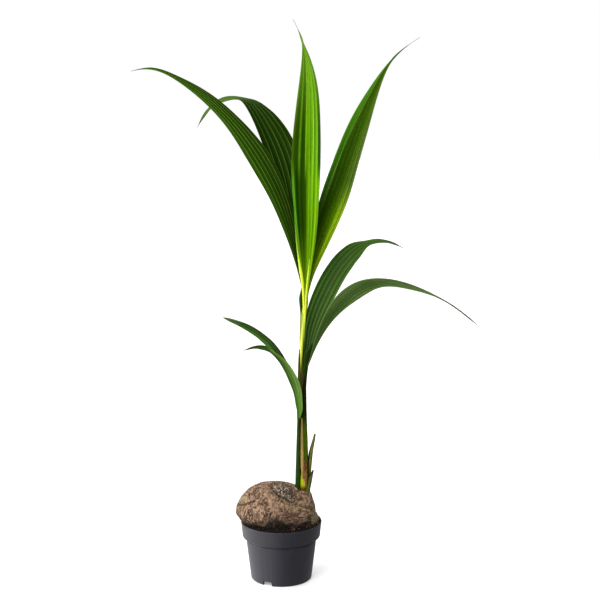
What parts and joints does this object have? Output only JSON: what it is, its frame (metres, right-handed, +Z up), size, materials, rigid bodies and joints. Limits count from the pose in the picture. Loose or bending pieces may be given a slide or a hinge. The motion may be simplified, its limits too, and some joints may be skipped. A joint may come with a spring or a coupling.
{
  "type": "potted coconut palm",
  "caption": "Young coconut palm sprouting from its husk in a round dark nursery pot, with a sheathed stem and long pleated two-lobed arching leaves.",
  "frame": {"origin": "centre of the pot's flat underside, on the surface it stands on", "axes": "+Z up along the pot's axis and the stem; +X towards the longest arching leaf, the side the stem stands on; +Y towards the back, away from the youngest leaf"},
  "size_m": [0.7863, 0.3727, 1.3088],
  "materials": {
    "pot": "satin, injection moulded",
    "soil": "crumbly, damp",
    "husk": "fibrous, dry, partly mouldy",
    "stem": "smooth, fresh",
    "sheath": "smooth, finely ribbed",
    "dark_sheath": "smooth, waxy",
    "fibre": "ragged, dry",
    "straw": "dry, papery",
    "stalk": "smooth, waxy",
    "young_leaf": "pleated, semi-gloss",
    "old_leaf": "pleated, semi-gloss",
    "low_leaf": "pleated, matt"
  },
  "bodies": {
    "root": {"back_lobe_lower": "old_leaf", "back_lobe_middle": "old_leaf", "back_lobe_tip": "old_leaf", "back_stalk": "dark_sheath", "coconut": "husk", "dry_strip": "straw", "fibre_sheath": "fibre", "inner_sheath": "dark_sheath", "left_lobe_lower": "old_leaf", "left_lobe_middle": "old_leaf", "left_lobe_tip": "old_leaf", "low_back_lobe": "low_leaf", "low_front_lobe_lower": "low_leaf", "low_front_lobe_upper": "low_leaf", "low_leaf_rachis": "sheath", "low_leaf_sheath": "sheath", "mid_back_lobe_lower": "old_leaf", "mid_back_lobe_middle": "old_leaf", "mid_back_lobe_tip": "old_leaf", "mid_front_lobe_lower": "old_leaf", "mid_front_lobe_middle": "old_leaf", "mid_front_lobe_tip": "old_leaf", "mid_leaf_sheath": "dark_sheath", "pot": "pot", "right_lobe_lower": "young_leaf", "right_lobe_middle": "old_leaf", "right_lobe_tip": "old_leaf", "short_scale": "dark_sheath", "soil": "soil", "spear_lobe_lower": "young_leaf", "spear_lobe_upper": "young_leaf", "stem_core": "stem", "tall_scale": "sheath", "young_stalk": "stalk"}
  },
  "joints": []
}
